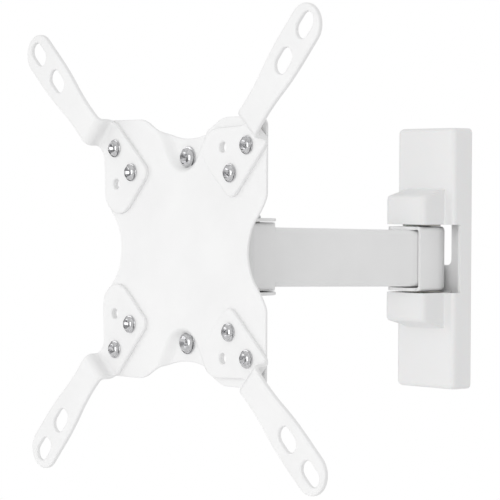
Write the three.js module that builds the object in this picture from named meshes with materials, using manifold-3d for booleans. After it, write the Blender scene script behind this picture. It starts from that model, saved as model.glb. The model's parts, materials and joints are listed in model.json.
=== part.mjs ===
// Full motion wall mount for a small flat screen: a wall plate under a moulded cover, one swinging
// arm, a swivel yoke, a tilt bracket and a screen plate with four bolt-on extension arms.
//
// Millimetres. +Z is up, the wall is the plane Y = 0 and the mount reaches out along -Y. The origin
// is on the wall plate's back face, midway between its two wall screw slots.

import * as THREE from 'three';
import { ConvexGeometry } from 'three/addons/geometries/ConvexGeometry.js';
import { mergeVertices } from 'three/addons/utils/BufferGeometryUtils.js';
import Module from 'manifold-3d';

const wasm = await Module();
wasm.setup();

// ---- driving dimensions ---------------------------------------------------------------------

const GAP = 0.3; // clearance kept between neighbouring pieces
const QUARTER_STEPS = 5; // straight steps in a quarter turn
const CURVE_STEPS = 5; // straight steps in a free curve

// wall side
const HINGE_UP = 8.7; // height of the wall hinge's middle above the origin
const HINGE_OUT = 15.9; // wall hinge axis to the wall
const WALL_SHEET = 2.5; // steel of the wall plate and its tabs
const WALL_PLATE_W = 38;
const WALL_PLATE_H = 131;
const COVER_W = 42.3;
const COVER_H = 136.9;
const COVER_D = 13.4;
const COVER_SKIN = 1.8;
const COVER_ROUND = 2.6;
const COVER_SIDE_D = 8.4; // depth of the cover's sides beside the window
const HOOD_W = 28.6;
const HOOD_OUT = 28.9; // front of the hoods to the wall
const HOOD_EDGE = 17.85; // window edge of each hood, from the hinge's middle
const HOOD_FRONT_END = 32.6; // far edge of a hood at its front
const HOOD_BACK_END = 36.4; // far edge of a hood where it meets the cover
const TAB_GAP = 18; // inner face of each hinge tab, from the hinge's middle
const TAB_R = 8.4; // round end of each tab
const TAB_OPENING_W = 17.4; // the opening each tab leaves in the plate
const TAB_OPENING_H = 21.7;
const ANCHOR_PITCH = 49; // wall screw slots above and below the origin
const ANCHOR_W = 6.5;
const ANCHOR_L = 14;

// arm
const ARM_LENGTH = 126.9; // hinge axis to hinge axis
const ARM_RISE = 2.6; // how much higher the arm's head end stands
const KNUCKLE_R = 12;
const KNUCKLE_H = 33.6;
const KNUCKLE_SKIN = 1.7;
const KNUCKLE_LEG = 12.8; // hinge axis to the end of the knuckle's sides
const KNUCKLE_TONGUE = 17.2; // hinge axis to the end of its top and bottom tongues
const TUBE_W = 19.8;
const TUBE_H = 29.4;
const TUBE_WALL = 1.8;
const TUBE_ROUND = 3;

// hinge hardware
const BUSH_D = 16;
const PIVOT_D = 10;
const PIVOT_HOLE_D = 10.8;
const PIVOT_HEX = 16; // across the flats of the bolt head and the nuts
const PIVOT_HEX_H = 6;
const PIVOT_TIP = 30; // hinge's middle to the end of each bolt
const DOME_R = 10.4; // low round head of the head hinge's bolt
const DOME_H = 2.2;
const WASHER_R = 8.4;
const WASHER_SHEET = 1.6;
const NYLON_R = 10;
const PLAY = 0.1; // left between a fastener and what it presses on

// head
const YOKE_SHEET = 1.5;
const YOKE_GAP = 17.4; // inner face of each flange, from the hinge's middle
const YOKE_W = 30;
const YOKE_END = 18.7; // hinge axis to the rounded end of the yoke's flanges
const YOKE_WEB = 13.1; // hinge axis to the yoke's web
const TILT_AXIS_IN = 15.5; // tilt axis behind the screen plate's front face
const TILT_EAR_R = 6;
const TILT_BOLT_D = 6;
const BRACKET_SHEET = 2;
const BRACKET_H = 106;
const BRACKET_IN = 5.5; // front of the tilt bracket behind the plate's front face
const BRACKET_EAR_R = 8;
const BRACKET_PLAY = 1.2; // between the yoke's ears and the bracket's ears
const TILT_HEX = 10;
const TILT_HEX_H = 4;
const TILT_NUT_H = 5;
const TILT_WASHER_SHEET = 1.2;
const TILT_HOLE_D = 6.6;

// screen plate
const PLATE_IN = 36.6; // head hinge axis to the plate's front face
const PLATE_UP = 3.5; // plate centre above the head hinge's middle
const PLATE_SHEET = 1.5;
const PLATE_HALF_W = 61;
const PLATE_HALF_H = 63.8;
const SIDE_WAIST = 47.7; // plate centre to the bottom of each side waist
const SIDE_WAIST_R = 24;
const TOP_WAIST = 54;
const TOP_WAIST_R = 47;
const POCKET_DEPTH = 3.7;
const POCKET_FLOOR = 37.2; // plate centre to the pocket's round bottom
const POCKET_R = 13;
const POCKET_LEAN = THREE.MathUtils.degToRad(30); // how far its sides open out
const CENTRE_SCREW_UP = 44.7;
const VESA_NEAR = 37.5; // half of the 75 mm screw pattern
const VESA_FAR = 50; // half of the 100 mm screw pattern

// extension arms
const ARM_SHEET = 2;
const ARM_STEP = 10.6; // front of the arm's outer part ahead of the plate's front face
const ARM_CLOCKING = THREE.MathUtils.degToRad(2.6); // turn within the screw holes' clearance
const FOOT_CUT = 59.3; // plate centre to the foot's cut side
const FOOT_INNER = 43.5; // along the diagonal, to the foot's inner end
const FOOT_SIDE = 9.2; // arm's centre line to the foot's long side
const FOOT_SHOULDER = 81.4; // along the diagonal, to the riser's inner face
const RISER_HALF_W = 8.2;
const ARM_NECK = 7.5; // half width of the outer part where it is narrowest
const ARM_TIP_R = 10;
const OUTER_SLOT = 142.6; // along the diagonal, plate centre to the slots
const INNER_SLOT = 121.6;
const SLOT_W = 8.5;
const SLOT_L = 13.5;
const SPARE_HOLE_D = 5;
const SPARE_REACH = 32.3; // plate centre to the spare hole, the short way
const PADDLE_SHOULDER = 108; // along the diagonal, where the paddle begins to swell
const PADDLE_FULL = 130; // where it reaches the tip's width

// screws: diameters of the head, its flange and the shank, head height and length under the head
const CORNER_SCREW = { head: 7.2, flange: 8.8, shank: 4, height: 2.7, length: 9 };
const CENTRE_SCREW = { head: 9, flange: 11.2, shank: 5, height: 3.2, length: 12 };

// ---- materials --------------------------------------------------------------------------------

function finish(color, roughness, metalness) {
  return new THREE.MeshStandardMaterial({ color, roughness, metalness });
}

const paintedSteel = () => finish(0xf1f1ef, 0.5, 0);
const mouldedPlastic = () => finish(0xeeeeec, 0.42, 0);
const nylon = () => finish(0xe4e2da, 0.55, 0);
const brightSteel = () => finish(0xc9ccd0, 0.18, 1);
const platedSteel = () => finish(0xb4b6b8, 0.35, 1);

// ---- shape helpers ----------------------------------------------------------------------------

function toSolid(geometry) {
  const bare = geometry.index ? geometry.toNonIndexed() : geometry.clone();
  bare.deleteAttribute('normal');
  bare.deleteAttribute('uv');
  const merged = mergeVertices(bare, 1e-4);
  return new wasm.Manifold(new wasm.Mesh({
    numProp: 3,
    vertProperties: new Float32Array(merged.attributes.position.array),
    triVerts: new Uint32Array(merged.index.array),
  }));
}

function toGeometry(solid) {
  const mesh = solid.getMesh();
  const geometry = new THREE.BufferGeometry();
  geometry.setAttribute('position', new THREE.BufferAttribute(new Float32Array(mesh.vertProperties), 3));
  geometry.setIndex(new THREE.BufferAttribute(new Uint32Array(mesh.triVerts), 1));
  return geometry;
}

// Outlines are lists of points; this is the stretch of one along an arc.
function arc(x, y, radius, from, to) {
  const perQuarter = radius < 3.5 ? QUARTER_STEPS - 2 : QUARTER_STEPS;
  const steps = Math.max(1, Math.round((Math.abs(to - from) / (Math.PI / 2)) * perQuarter));
  return Array.from({ length: steps + 1 }, (_, i) => {
    const angle = from + ((to - from) * i) / steps;
    return new THREE.Vector2(x + radius * Math.cos(angle), y + radius * Math.sin(angle));
  });
}

function point(x, y) {
  return new THREE.Vector2(x, y);
}

function curve(...controls) {
  const bend = new THREE.CubicBezierCurve(...controls.map(([x, y]) => point(x, y)));
  return bend.getPoints(CURVE_STEPS);
}

function extrude(outline, depth) {
  return new THREE.ExtrudeGeometry(new THREE.Shape(outline), { depth, bevelEnabled: false });
}

// A plan outline (x, y) raised from height z0 to z1.
function upright(outline, z0, z1) {
  return toSolid(extrude(outline, z1 - z0).translate(0, 0, z0));
}

// A front outline (x, z) given thickness from y0 to y1.
function facing(outline, y0, y1) {
  return toSolid(extrude(outline, y1 - y0).rotateX(Math.PI / 2).translate(0, y1, 0));
}

// A side outline (y, z) given thickness from x0 to x1.
function sideways(outline, x0, x1) {
  const standing = new THREE.Matrix4().set(0, 0, 1, x0, 1, 0, 0, 0, 0, 1, 0, 0, 0, 0, 0, 1);
  return toSolid(extrude(outline, x1 - x0).applyMatrix4(standing));
}

function roundedRect(x0, y0, x1, y1, radius) {
  return [
    ...arc(x1 - radius, y0 + radius, radius, -Math.PI / 2, 0),
    ...arc(x1 - radius, y1 - radius, radius, 0, Math.PI / 2),
    ...arc(x0 + radius, y1 - radius, radius, Math.PI / 2, Math.PI),
    ...arc(x0 + radius, y0 + radius, radius, Math.PI, Math.PI * 1.5),
  ];
}

function box(x0, y0, z0, x1, y1, z1) {
  const block = new THREE.BoxGeometry(x1 - x0, y1 - y0, z1 - z0);
  return toSolid(block.translate((x0 + x1) / 2, (y0 + y1) / 2, (z0 + z1) / 2));
}

function circle(radius, x = 0, y = 0) {
  return arc(x, y, radius, 0, Math.PI * 2).slice(1);
}

// A slot with round ends, centred on (x, y), its long way turned by angle from +x.
function slot(width, length, x, y, angle) {
  const reach = (length - width) / 2;
  const end = (side, from) => {
    const [cx, cy] = [x + side * reach * Math.cos(angle), y + side * reach * Math.sin(angle)];
    return arc(cx, cy, width / 2, from + angle, from + angle + Math.PI);
  };
  return [...end(1, -Math.PI / 2), ...end(-1, Math.PI / 2)];
}

// A convex outline with rounded corners; corners are [x, y, radius] in either order.
function filleted(corners) {
  const count = corners.length;
  return corners.flatMap(([x, y, radius], i) => {
    const here = point(x, y);
    const before = point(...corners[(i + count - 1) % count]).sub(here).normalize();
    const after = point(...corners[(i + 1) % count]).sub(here).normalize();
    const half = Math.acos(before.dot(after)) / 2;
    const start = here.clone().addScaledVector(before, radius / Math.tan(half));
    const bisector = before.clone().add(after).normalize();
    const centre = here.clone().addScaledVector(bisector, radius / Math.sin(half));
    const from = Math.atan2(start.y - centre.y, start.x - centre.x);
    const turn = (Math.PI - 2 * half) * (before.cross(after) > 0 ? -1 : 1);
    return arc(centre.x, centre.y, radius, from, from + turn);
  });
}

// A turned piece on a vertical axis: profile is [radius, z] from the axis and back to it.
function turned(profile, segments) {
  const points = profile.map(([r, z]) => point(r, z));
  return toSolid(new THREE.LatheGeometry(points, segments).rotateX(Math.PI / 2));
}

function ring(outer, inner, z0, z1, segments = 20) {
  return turned([[inner, z0], [outer, z0], [outer, z1], [inner, z1], [inner, z0]], segments);
}

function hexagon(acrossFlats, z0, z1) {
  const radius = acrossFlats / Math.sqrt(3);
  const lying = new THREE.CylinderGeometry(radius, radius, z1 - z0, 6);
  return toSolid(lying.rotateX(Math.PI / 2).translate(0, 0, (z0 + z1) / 2));
}

function hexNut(acrossFlats, bore, z0, z1) {
  return hexagon(acrossFlats, z0, z1).subtract(upright(circle(bore / 2), z0 - 1, z1 + 1));
}

const mount = new THREE.Group();

function addPiece(name, solid, material, parent = mount) {
  const piece = new THREE.Mesh(toGeometry(solid), material);
  piece.name = name;
  parent.add(piece);
  return piece;
}

function groupAt(x, y, z, parent = mount) {
  const group = new THREE.Group();
  group.position.set(x, y, z);
  parent.add(group);
  return group;
}

// ---- wall side, drawn about the wall hinge's middle -------------------------------------------

const wallHinge = groupAt(0, -HINGE_OUT, HINGE_UP);

function hingeTab(z0, z1) {
  const root = HINGE_OUT - GAP;
  const plan = [point(-TAB_R, root), ...arc(0, 0, TAB_R, Math.PI, Math.PI * 2), point(TAB_R, root)];
  return upright(plan, z0, z1).subtract(upright(circle(PIVOT_HOLE_D / 2), z0 - 1, z1 + 1));
}

function wallPlate() {
  const halfW = WALL_PLATE_W / 2;
  const halfH = WALL_PLATE_H / 2;
  const front = HINGE_OUT - WALL_SHEET;
  const openingHalf = TAB_OPENING_W / 2;
  let plate = facing(roundedRect(-halfW, -halfH, halfW, halfH, 3), front, HINGE_OUT);
  plate = plate.add(hingeTab(TAB_GAP, TAB_GAP + WALL_SHEET));
  plate = plate.add(hingeTab(-TAB_GAP - WALL_SHEET, -TAB_GAP));
  for (const top of [TAB_GAP, -TAB_GAP - WALL_SHEET]) {
    const opening = roundedRect(-openingHalf, top - TAB_OPENING_H, openingHalf, top, 3);
    plate = plate.subtract(facing(opening, front - GAP, HINGE_OUT + 1));
  }
  for (const side of [1, -1]) {
    const anchor = slot(ANCHOR_W, ANCHOR_L, 0, side * ANCHOR_PITCH - HINGE_UP, Math.PI / 2);
    plate = plate.subtract(facing(anchor, front - 1, HINGE_OUT + 1));
  }
  return plate;
}

// The outside of one hood: a block whose far end slopes back towards the cover.
function hoodBlock(side, inset) {
  const back = HINGE_OUT - 1;
  const front = HINGE_OUT - HOOD_OUT + inset;
  const coverFront = HINGE_OUT - COVER_D;
  const near = side * HOOD_EDGE;
  const reach = side * inset;
  const profile = [
    point(back, near - reach),
    point(front, near - reach),
    point(front, side * HOOD_FRONT_END - reach),
    point(coverFront, side * HOOD_BACK_END - reach),
    point(back, side * HOOD_BACK_END - reach),
  ];
  const half = HOOD_W / 2 - inset;
  const round = 2.6 - inset / 2;
  const plan = roundedRect(-half, front, half, HINGE_OUT + round, round);
  return sideways(profile, -half, half).intersect(upright(plan, -COVER_H, COVER_H));
}

function coverShell(inset) {
  const round = COVER_ROUND - inset / 2;
  const halfW = COVER_W / 2 - inset - round;
  const halfH = COVER_H / 2 - inset - round;
  const outline = new THREE.Shape(roundedRect(-halfW, -halfH, halfW, halfH, 0.4));
  const body = new THREE.ExtrudeGeometry(outline, {
    depth: COVER_D,
    bevelEnabled: true,
    bevelSize: round,
    bevelThickness: round,
    bevelSegments: 3,
  });
  body.rotateX(Math.PI / 2).translate(0, HINGE_OUT + round + inset, 0);
  return toSolid(body);
}

function wallCover() {
  const wide = COVER_W;
  let cover = coverShell(0).add(hoodBlock(1, 0)).add(hoodBlock(-1, 0));
  let hollow = coverShell(COVER_SKIN);
  hollow = hollow.add(hoodBlock(1, COVER_SKIN)).add(hoodBlock(-1, COVER_SKIN));
  cover = cover.subtract(hollow);
  cover = cover.subtract(box(-wide, HINGE_OUT - GAP / 2, -COVER_H, wide, HINGE_OUT + 20, COVER_H));
  const windowFront = HINGE_OUT - HOOD_OUT - 1;
  const windowBack = HINGE_OUT - COVER_SIDE_D;
  return cover.subtract(box(-wide, windowFront, -HOOD_EDGE, wide, windowBack, HOOD_EDGE));
}

addPiece('wall_plate', wallPlate(), paintedSteel(), wallHinge);
addPiece('wall_cover', wallCover(), mouldedPlastic(), wallHinge);

// ---- hinge hardware, shared by the wall hinge and the head hinge --------------------------------

// A washer on one side (1 or -1) of the hinge, between two distances from its middle.
function pivotWasher(radius, side, near, far) {
  const ends = [side * near, side * far];
  return ring(radius, PIVOT_HOLE_D / 2, Math.min(...ends), Math.max(...ends));
}

// Fills the space between a knuckle and the sheet that carries it, from its inner face at sheetAt.
function nylonWasher(side, sheetAt) {
  const play = (sheetAt - KNUCKLE_H / 2) / 4;
  return pivotWasher(NYLON_R, side, KNUCKLE_H / 2 + play, sheetAt - play);
}

// Lies on the outside of that sheet, at outside.
function steelWasher(side, outside) {
  return pivotWasher(WASHER_R, side, outside + PLAY, outside + PLAY + WASHER_SHEET);
}

const WASHER_STACK = WASHER_SHEET + 2 * PLAY;

function pivotNut(outside) {
  const top = -outside - WASHER_STACK;
  return hexNut(PIVOT_HEX, PIVOT_HOLE_D, top - PIVOT_HEX_H, top);
}

function wallBolt(outside) {
  const seat = outside + WASHER_STACK;
  const head = hexagon(PIVOT_HEX, seat, seat + PIVOT_HEX_H);
  return head.add(upright(circle(PIVOT_D / 2), -PIVOT_TIP, seat + 1));
}

const tabOutside = TAB_GAP + WALL_SHEET;
addPiece('wall_hinge_washer_upper', nylonWasher(1, TAB_GAP), nylon(), wallHinge);
addPiece('wall_hinge_washer_lower', nylonWasher(-1, TAB_GAP), nylon(), wallHinge);
addPiece('wall_hinge_bolt', wallBolt(tabOutside), platedSteel(), wallHinge);
addPiece('wall_hinge_head_washer', steelWasher(1, tabOutside), platedSteel(), wallHinge);
addPiece('wall_hinge_nut_washer', steelWasher(-1, tabOutside), platedSteel(), wallHinge);
addPiece('wall_hinge_nut', pivotNut(tabOutside), platedSteel(), wallHinge);

// ---- arm --------------------------------------------------------------------------------------

// The shell that wraps the tube's end and turns on the pivot. The tube leaves it along -Y.
function knuckle() {
  const half = KNUCKLE_H / 2;
  const inside = half - KNUCKLE_SKIN;
  const around = (radius, leg) => [
    point(radius, -leg), ...arc(0, 0, radius, 0, Math.PI), point(-radius, -leg),
  ];
  const tongueHalf = KNUCKLE_R - KNUCKLE_SKIN;
  const tongue = filleted([
    [-tongueHalf, -KNUCKLE_TONGUE, 6], [tongueHalf, -KNUCKLE_TONGUE, 6],
    [tongueHalf, 0, 0.5], [-tongueHalf, 0, 0.5],
  ]);
  let shell = upright(around(KNUCKLE_R, KNUCKLE_LEG), -half, half);
  shell = shell.add(upright(tongue, -half, half));
  shell = shell.subtract(upright(around(KNUCKLE_R - KNUCKLE_SKIN, KNUCKLE_TONGUE + 1), -inside, inside));
  return shell.subtract(upright(circle(PIVOT_HOLE_D / 2), -half - 1, half + 1));
}

function armTube() {
  const length = Math.hypot(ARM_LENGTH, ARM_RISE);
  const section = (grow) => roundedRect(
    -TUBE_W / 2 - grow, -TUBE_H / 2 - grow, TUBE_W / 2 + grow, TUBE_H / 2 + grow, TUBE_ROUND + grow,
  );
  let tube = facing(section(0), -length, 0).subtract(facing(section(-TUBE_WALL), -length - 1, 1));
  for (const end of [0, -length]) {
    tube = tube.subtract(upright(circle(BUSH_D / 2 + 0.6, 0, end), -TUBE_H, TUBE_H));
  }
  return tube;
}

const headHinge = groupAt(0, -ARM_LENGTH, ARM_RISE, wallHinge);

addPiece('wall_knuckle', knuckle(), paintedSteel(), wallHinge);
const tubePiece = addPiece('arm_tube', armTube(), paintedSteel(), wallHinge);
tubePiece.rotation.x = -Math.atan2(ARM_RISE, ARM_LENGTH);
const headKnuckle = addPiece('head_knuckle', knuckle(), paintedSteel(), headHinge);
headKnuckle.rotation.z = Math.PI;

function bush() {
  const half = KNUCKLE_H / 2 - KNUCKLE_SKIN - GAP;
  return ring(BUSH_D / 2, PIVOT_HOLE_D / 2, -half, half);
}

addPiece('wall_hinge_bush', bush(), platedSteel(), wallHinge);
addPiece('head_hinge_bush', bush(), platedSteel(), headHinge);

// ---- head: swivel yoke on the head hinge ---------------------------------------------------------

const TILT_OUT = PLATE_IN - TILT_AXIS_IN; // head hinge axis to the tilt axis

function yoke() {
  const half = YOKE_W / 2;
  const outside = YOKE_GAP + YOKE_SHEET;
  const webFront = -YOKE_WEB - YOKE_SHEET;
  const flange = filleted([
    [half, webFront, 0.4], [half, YOKE_END, 14.6], [-half, YOKE_END, 14.6], [-half, webFront, 0.4],
  ]);
  const web = box(-half, webFront, -outside, half, -YOKE_WEB, outside);
  const ear = filleted([
    [-TILT_OUT - TILT_EAR_R, PLATE_UP - TILT_EAR_R, TILT_EAR_R - 0.05],
    [webFront + 0.5, PLATE_UP - TILT_EAR_R - 2, 0.3],
    [webFront + 0.5, PLATE_UP + TILT_EAR_R + 2, 0.3],
    [-TILT_OUT - TILT_EAR_R, PLATE_UP + TILT_EAR_R, TILT_EAR_R - 0.05],
  ]);
  let body = web;
  for (const [z0, z1] of [[YOKE_GAP, outside], [-outside, -YOKE_GAP]]) {
    const pivotHole = upright(circle(PIVOT_HOLE_D / 2), z0 - 1, z1 + 1);
    body = body.add(upright(flange, z0, z1).subtract(pivotHole));
  }
  for (const x0 of [-half, half - YOKE_SHEET]) {
    body = body.add(sideways(ear, x0, x0 + YOKE_SHEET));
  }
  const tiltHole = circle(TILT_HOLE_D / 2, -TILT_OUT, PLATE_UP);
  return body.subtract(sideways(tiltHole, -half - 1, half + 1));
}

// Low round head on top of the yoke, a nut below it.
function headBolt(outside) {
  const under = outside + PLAY;
  const shank = PIVOT_D / 2;
  return turned([
    [0, -PIVOT_TIP], [shank, -PIVOT_TIP], [shank, under], [DOME_R, under], [DOME_R, under + DOME_H * 0.45],
    [DOME_R - 0.8, under + DOME_H * 0.8], [DOME_R - 2.4, under + DOME_H], [0, under + DOME_H],
  ], 24);
}

const yokeOutside = YOKE_GAP + YOKE_SHEET;
addPiece('head_hinge_washer_upper', nylonWasher(1, YOKE_GAP), nylon(), headHinge);
addPiece('head_hinge_washer_lower', nylonWasher(-1, YOKE_GAP), nylon(), headHinge);
addPiece('swivel_yoke', yoke(), paintedSteel(), headHinge);
addPiece('head_hinge_bolt', headBolt(yokeOutside), platedSteel(), headHinge);
addPiece('head_hinge_nut_washer', steelWasher(-1, yokeOutside), platedSteel(), headHinge);
addPiece('head_hinge_nut', pivotNut(yokeOutside), platedSteel(), headHinge);

// ---- tilt bracket and its bolt, drawn about the screen plate's centre, +Y towards the wall --------

const plateCentre = groupAt(0, -PLATE_IN, PLATE_UP, headHinge);
const bracketInnerHalf = YOKE_W / 2 + BRACKET_PLAY;

function tiltBracket() {
  const half = bracketInnerHalf + BRACKET_SHEET;
  const back = BRACKET_IN + BRACKET_SHEET;
  let bracket = facing(roundedRect(-half, -BRACKET_H / 2, half, BRACKET_H / 2, 5), BRACKET_IN, back);
  const ear = filleted([
    [BRACKET_IN + 0.5, -BRACKET_EAR_R - 8, 0.4], [back + 1, -BRACKET_EAR_R - 8, 0.4],
    [TILT_AXIS_IN + BRACKET_EAR_R, -BRACKET_EAR_R, BRACKET_EAR_R - 0.5],
    [TILT_AXIS_IN + BRACKET_EAR_R, BRACKET_EAR_R, BRACKET_EAR_R - 0.5],
    [back + 1, BRACKET_EAR_R + 8, 0.4], [BRACKET_IN + 0.5, BRACKET_EAR_R + 8, 0.4],
  ]);
  for (const x0 of [-half, bracketInnerHalf]) {
    bracket = bracket.add(sideways(ear, x0, x0 + BRACKET_SHEET));
  }
  const tiltHole = circle(TILT_HOLE_D / 2, TILT_AXIS_IN, 0);
  bracket = bracket.subtract(sideways(tiltHole, -half - 1, half + 1));
  for (const side of [1, -1]) {
    const hole = circle(2.9, 0, side * CENTRE_SCREW_UP);
    bracket = bracket.subtract(facing(hole, 0, 20));
  }
  const window = roundedRect(-9, -13, 9, 13, 4);
  return bracket.subtract(facing(window, 0, 20));
}

// Things on the tilt axis are drawn along Z and laid over to run along X.
function acrossTilt(name, solid, material) {
  const piece = addPiece(name, solid, material, plateCentre);
  piece.position.set(0, TILT_AXIS_IN, 0);
  piece.rotation.y = Math.PI / 2;
}

const bracketOutside = bracketInnerHalf + BRACKET_SHEET;
const tiltSeat = bracketOutside + TILT_WASHER_SHEET + 2 * PLAY; // under the bolt's head and the nut

function tiltBolt() {
  const tip = -tiltSeat - TILT_NUT_H - 1.2;
  const shank = upright(circle(TILT_BOLT_D / 2), tip, tiltSeat + 1);
  return hexagon(TILT_HEX, tiltSeat, tiltSeat + TILT_HEX_H).add(shank);
}

addPiece('tilt_bracket', tiltBracket(), paintedSteel(), plateCentre);
acrossTilt('tilt_bolt', tiltBolt(), platedSteel());
acrossTilt('tilt_nut', hexNut(TILT_HEX, TILT_HOLE_D, -tiltSeat - TILT_NUT_H, -tiltSeat), platedSteel());
for (const [side, name] of [[1, 'right'], [-1, 'left']]) {
  const washerEnds = [side * (bracketOutside + PLAY), side * (tiltSeat - PLAY)];
  const spacerEnds = [side * (YOKE_W / 2 + 0.25), side * (bracketInnerHalf - 0.25)];
  const washer = ring(TILT_EAR_R, TILT_HOLE_D / 2, Math.min(...washerEnds), Math.max(...washerEnds));
  const spacer = ring(5.6, TILT_HOLE_D / 2, Math.min(...spacerEnds), Math.max(...spacerEnds));
  acrossTilt(`tilt_washer_${name}`, washer, platedSteel());
  acrossTilt(`tilt_spacer_${name}`, spacer, nylon());
}

// ---- screen plate ---------------------------------------------------------------------------------

// A waist cut: an arc centred beyond the plate's edge whose mouth flares out along the edge.
function waistCut(toFloor, radius, edge, mouth, spread) {
  const centre = toFloor + radius;
  const bite = arc(centre, 0, radius, Math.PI + spread, Math.PI - spread);
  const [low, high] = [bite[0], bite[bite.length - 1]];
  const lean = [Math.sin(spread), Math.cos(spread)];
  const run = (edge - high.x) * 0.45;
  const flare = (end, side) => [
    [end.x, end.y],
    [end.x + run * lean[0], end.y + side * run * lean[1]],
    [edge, side * mouth * 0.9],
    [edge, side * mouth],
  ];
  return [
    point(edge + 10, -mouth),
    ...curve(...flare(low, -1).reverse()),
    ...bite.slice(1, -1),
    ...curve(...flare(high, 1)),
    point(edge + 10, mouth),
  ];
}

function turnedCopies(solid, angles) {
  return angles.map((angle) => solid.rotate([0, angle, 0]));
}

// The pressed pocket's outline: wide at the plate's edge, round towards the centre.
function pocketOutline(inset) {
  const top = PLATE_HALF_H + 4;
  const radius = POCKET_R - inset;
  const floor = POCKET_FLOOR + inset;
  const bottom = arc(0, floor + radius, radius, Math.PI + POCKET_LEAN, Math.PI * 2 - POCKET_LEAN);
  const edge = bottom[bottom.length - 1];
  const topX = edge.x + (top - edge.y) * Math.tan(POCKET_LEAN);
  return [...bottom, point(topX, top), point(-topX, top)];
}

// The hull between two outlines (x, z), the wide one at y0 and the narrow one at y1.
function pocketBody(wideInset, y0, narrowInset, y1) {
  const at = (outline, y) => outline.map((p) => new THREE.Vector3(p.x, y, p.y));
  const corners = [...at(pocketOutline(wideInset), y0), ...at(pocketOutline(narrowInset), y1)];
  return toSolid(new ConvexGeometry(corners));
}

// Where a point of a corner comes to lie once it is turned with its arm, about the two screws' middle.
function clocked(sx, sz, x, z) {
  const middle = (VESA_NEAR + VESA_FAR) / 2;
  const offset = new THREE.Vector2(x - sx * middle, z - sz * middle);
  offset.rotateAround(new THREE.Vector2(0, 0), ARM_CLOCKING);
  return [sx * middle + offset.x, sz * middle + offset.y];
}

// One entry per corner: on which side of the plate's centre it lies, across and up.
const CORNERS = [
  { name: 'upper_right', sx: 1, sz: 1 },
  { name: 'upper_left', sx: -1, sz: 1 },
  { name: 'lower_left', sx: -1, sz: -1 },
  { name: 'lower_right', sx: 1, sz: -1 },
];

// The spare hole's place in a corner: beside the far screw, towards the plate's middle.
function spareHole({ sx, sz }) {
  const beside = sx > 0;
  return beside ? [sx * SPARE_REACH, sz * VESA_FAR] : [sx * VESA_FAR, sz * SPARE_REACH];
}

function plateOutline() {
  const halfW = PLATE_HALF_W;
  const halfH = PLATE_HALF_H;
  let sheet = facing(roundedRect(-halfW, -halfH, halfW, halfH, 5), -2, 12);
  const sideCut = facing(waistCut(SIDE_WAIST, SIDE_WAIST_R, halfW, 27.5, 0.75), -3, 13);
  const topCut = facing(waistCut(TOP_WAIST, TOP_WAIST_R, halfH, 34, 0.56), -3, 13);
  for (const cut of [...turnedCopies(sideCut, [0, 180]), ...turnedCopies(topCut, [90, -90])]) {
    sheet = sheet.subtract(cut);
  }
  return sheet;
}

function screenPlate() {
  const whole = roundedRect(-PLATE_HALF_W, -PLATE_HALF_H, PLATE_HALF_W, PLATE_HALF_H, 5);
  const slope = 1.2; // how far the pocket's side leans in over its depth
  const bottom = POCKET_DEPTH + PLATE_SHEET;
  const lean = slope / bottom;
  const skin = PLATE_SHEET * 0.6; // the pocket's wall, measured along the plate
  const pressed = pocketBody(-skin, 0, slope - skin, bottom);
  const hollow = pocketBody(-lean * 3, -3, lean * POCKET_DEPTH, POCKET_DEPTH);
  let plate = facing(whole, 0, PLATE_SHEET);
  for (const pocket of turnedCopies(pressed, [0, 180])) {
    plate = plate.add(pocket);
  }
  for (const pocket of turnedCopies(hollow, [0, 180])) {
    plate = plate.subtract(pocket);
  }
  plate = plate.intersect(plateOutline());
  for (const corner of CORNERS) {
    const { sx, sz } = corner;
    const places = [VESA_NEAR, VESA_FAR].map((reach) => clocked(sx, sz, sx * reach, sz * reach));
    const holes = places.map((place) => circle(2.4, ...place));
    holes.push(circle(SPARE_HOLE_D / 2, ...clocked(sx, sz, ...spareHole(corner))));
    for (const hole of holes) {
      plate = plate.subtract(facing(hole, -1, 4));
    }
  }
  for (const side of [1, -1]) {
    const adjust = slot(6, 7.8, 0, side * (CENTRE_SCREW_UP - 0.8), Math.PI / 2);
    plate = plate.subtract(facing(adjust, 0, 9));
  }
  return plate;
}

addPiece('vesa_plate', screenPlate(), paintedSteel(), plateCentre);

// ---- extension arms ---------------------------------------------------------------------------------

// One arm in its own plan: s runs outward along the diagonal, t to its left. The foot's cut side
// runs at 45 degrees to s, so it comes out level once the arm is turned onto its diagonal.
function footOutline() {
  const cut = FOOT_CUT * Math.SQRT2; // on the cut side, s + t
  const end = FOOT_SHOULDER + ARM_SHEET;
  return filleted([
    [FOOT_INNER, -FOOT_SIDE, 5],
    [FOOT_SHOULDER, -FOOT_SIDE, 0.6],
    [end, -RISER_HALF_W, 0.3],
    [end, RISER_HALF_W, 0.3],
    [cut - RISER_HALF_W, RISER_HALF_W, 7],
    [FOOT_INNER, cut - FOOT_INNER, 10.8],
  ]);
}

// The paddle: a neck at the riser that swells to a round tip.
function paddleOutline() {
  const start = FOOT_SHOULDER;
  const shoulder = PADDLE_SHOULDER;
  const flank = (side) => {
    const waist = curve(
      [start, side * RISER_HALF_W], [start + 6, side * ARM_NECK],
      [start + 16, side * ARM_NECK], [shoulder, side * 8.6],
    );
    const swell = curve(
      [shoulder, side * 8.6], [shoulder + 6, side * 9.4],
      [PADDLE_FULL - 10, side * ARM_TIP_R], [PADDLE_FULL, side * ARM_TIP_R],
    );
    return [...waist, ...swell.slice(1)];
  };
  const tip = arc(OUTER_SLOT, 0, ARM_TIP_R, -Math.PI / 2, Math.PI / 2);
  return [...flank(-1), ...tip, ...flank(1).reverse()];
}

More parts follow.
